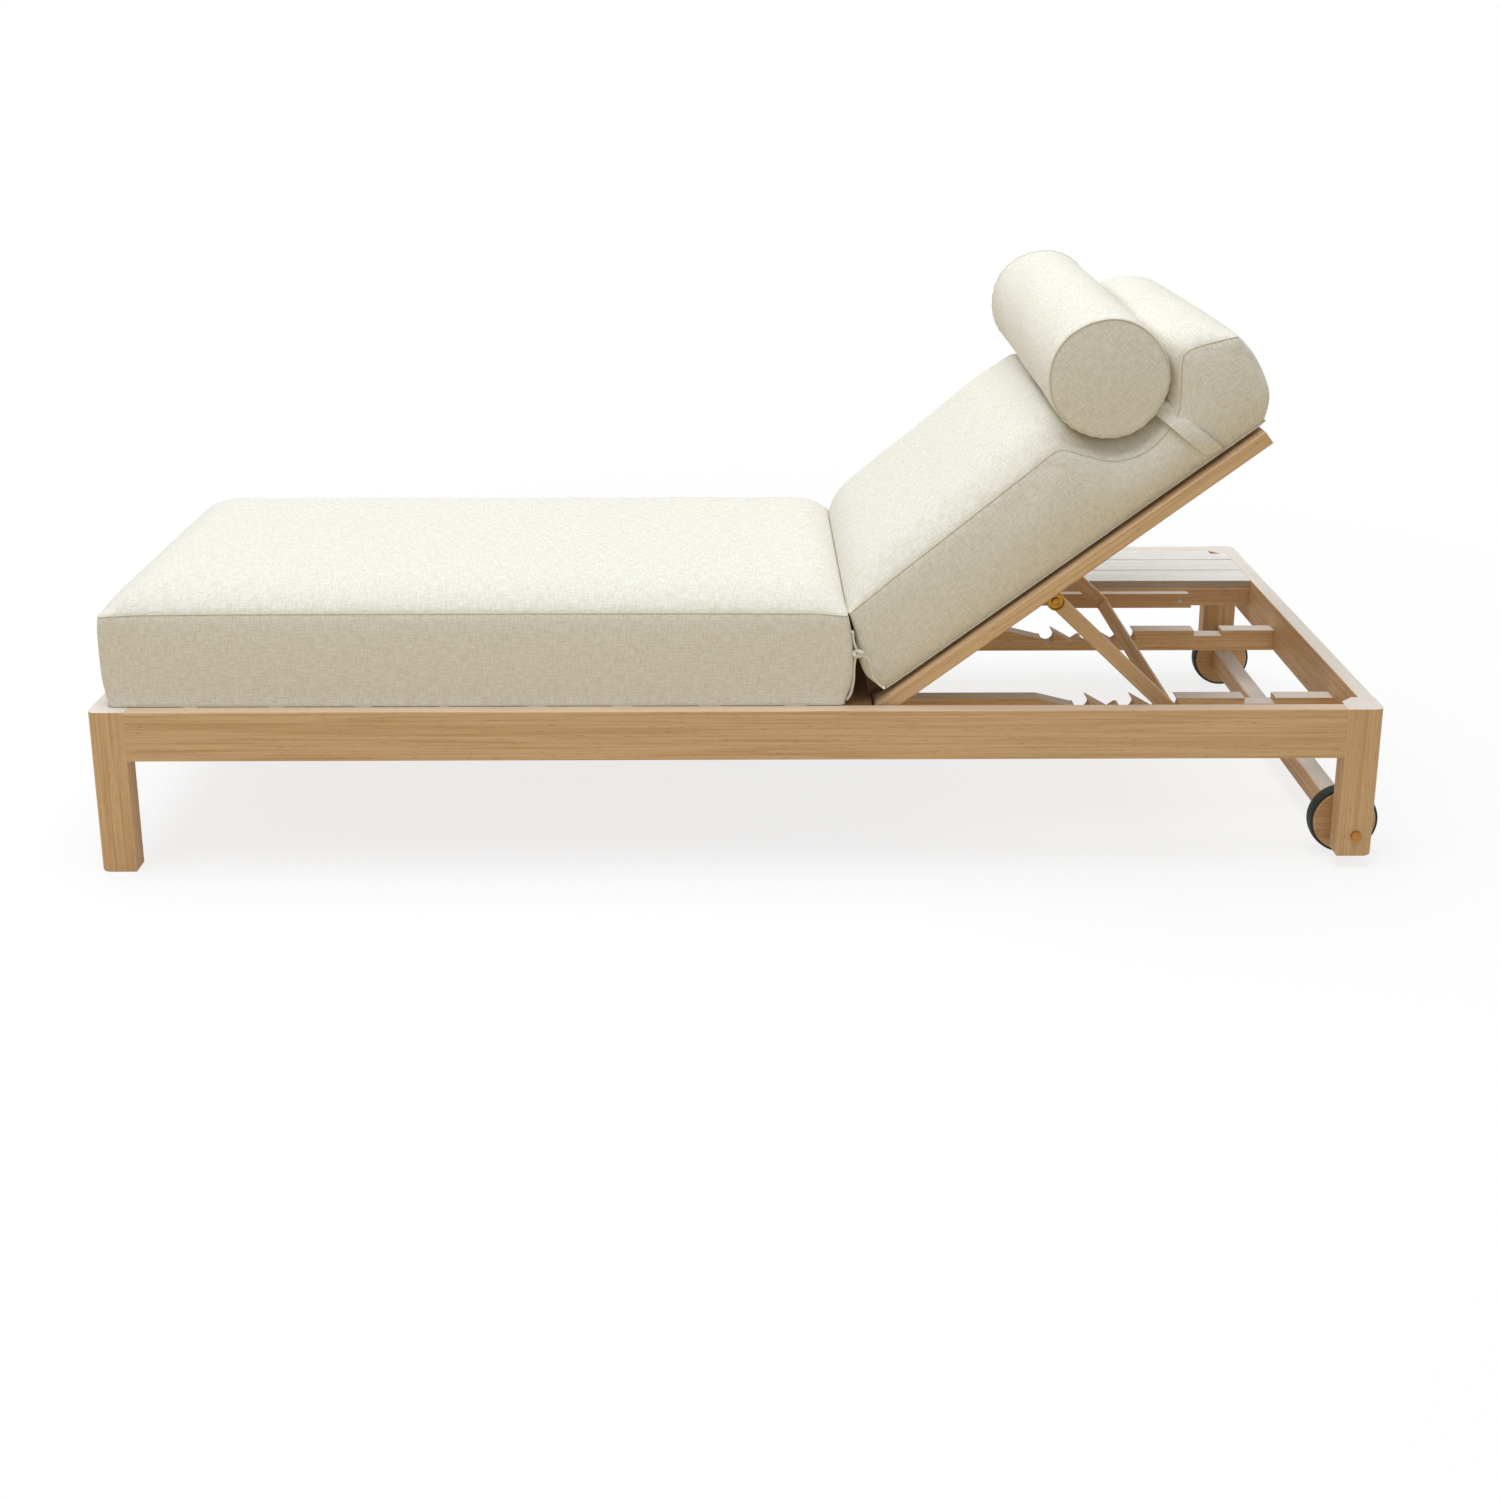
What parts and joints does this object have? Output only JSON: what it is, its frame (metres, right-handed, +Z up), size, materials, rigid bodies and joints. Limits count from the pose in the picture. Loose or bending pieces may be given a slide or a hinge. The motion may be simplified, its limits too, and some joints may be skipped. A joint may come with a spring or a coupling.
{
  "type": "chaise lounger",
  "caption": "Hardwood chaise lounger with a side shelf, reclining backrest on a notched prop, wheels at the head, thick fabric cushions and a neck bolster.",
  "frame": {"origin": "on the floor, under the middle of the whole length and width", "axes": "+X from the foot to the head, +Y from the cushion side to the shelf side, +Z up"},
  "size_m": [2.0264, 0.958, 0.8655],
  "materials": {
    "teak_frame": "oiled sawn hardwood",
    "teak_slats": "oiled sawn hardwood",
    "teak_backrest": "oiled sawn hardwood",
    "wheel_wood": "turned oiled hardwood",
    "woven_fabric": "woven outdoor fabric",
    "brass_pivots": "satin brass",
    "bronze_bolts": "aged bronze",
    "steel_screws": "stainless steel",
    "rubber_tyre": "matt rubber"
  },
  "bodies": {
    "frame": {"near_side_rail": "teak_frame", "far_side_rail": "teak_frame", "foot_rail": "teak_frame", "head_rail": "teak_frame", "near_foot_leg": "teak_frame", "far_foot_leg": "teak_frame", "near_head_leg": "teak_frame", "far_head_leg": "teak_frame", "shelf_rail": "teak_frame", "shelf_cleat": "teak_frame", "hinge_cross_rail": "teak_frame", "seat_cross_rail": "teak_frame", "near_seat_bearer": "teak_frame", "far_seat_bearer": "teak_frame", "near_ratchet_rail": "teak_frame", "far_ratchet_rail": "teak_frame", "near_rest_batten": "teak_frame", "far_rest_batten": "teak_frame", "near_hinge_block": "teak_frame", "far_hinge_block": "teak_frame", "wheel_stretcher": "teak_frame", "shelf_bearer_1": "teak_frame", "shelf_bearer_2": "teak_frame", "shelf_bearer_3": "teak_frame", "shelf_slat_1": "teak_slats", "shelf_slat_2": "teak_slats", "shelf_slat_3": "teak_slats", "seat_slat_1": "teak_slats", "seat_slat_2": "teak_slats", "seat_slat_3": "teak_slats", "seat_slat_4": "teak_slats", "seat_slat_5": "teak_slats", "seat_slat_6": "teak_slats", "seat_slat_7": "teak_slats", "seat_slat_8": "teak_slats", "seat_slat_9": "teak_slats", "batten_screws": "steel_screws", "hinge_bolts": "steel_screws", "axle_bolts": "bronze_bolts", "axle_washers": "steel_screws", "seat_cushion": "woven_fabric"},
    "backrest": {"near_backrest_rail": "teak_backrest", "far_backrest_rail": "teak_backrest", "backrest_head_rail": "teak_backrest", "backrest_prop_rail": "teak_backrest", "backrest_slats": "teak_backrest", "near_prop_ear": "teak_backrest", "far_prop_ear": "teak_backrest", "prop_pivot_bolts": "brass_pivots", "back_cushion": "woven_fabric", "bolster": "woven_fabric", "bolster_straps": "woven_fabric"},
    "prop": {"near_prop_arm": "teak_backrest", "far_prop_arm": "teak_backrest", "prop_crossbar": "teak_backrest"},
    "near_wheel_body": {"near_wheel": "wheel_wood", "near_tyre": "rubber_tyre"},
    "far_wheel_body": {"far_wheel": "wheel_wood", "far_tyre": "rubber_tyre"}
  },
  "joints": [
    {"name": "backrest_recline", "type": "hinge", "parent": "frame", "child": "backrest", "pos_m": [0.21125, -0.109, 0.2565], "axis": [0, -1, 0], "range_deg": [-37, 15.7]},
    {"name": "prop_swing", "type": "hinge", "parent": "backrest", "child": "prop", "pos_m": [0.48206, -0.109, 0.41887], "axis": [0, -1, 0], "range_deg": [-36.2, 85.2]},
    {"name": "near_wheel_spin", "type": "hinge", "parent": "frame", "child": "near_wheel_body", "pos_m": [0.95825, -0.403, 0.055], "axis": [0, 1, 0], "continuous": true},
    {"name": "far_wheel_spin", "type": "hinge", "parent": "frame", "child": "far_wheel_body", "pos_m": [0.95825, 0.403, 0.055], "axis": [0, 1, 0], "continuous": true}
  ],
  "couplings": [
    {"joint": "prop_swing", "follows": "backrest_recline", "ratio": -2.3}
  ]
}
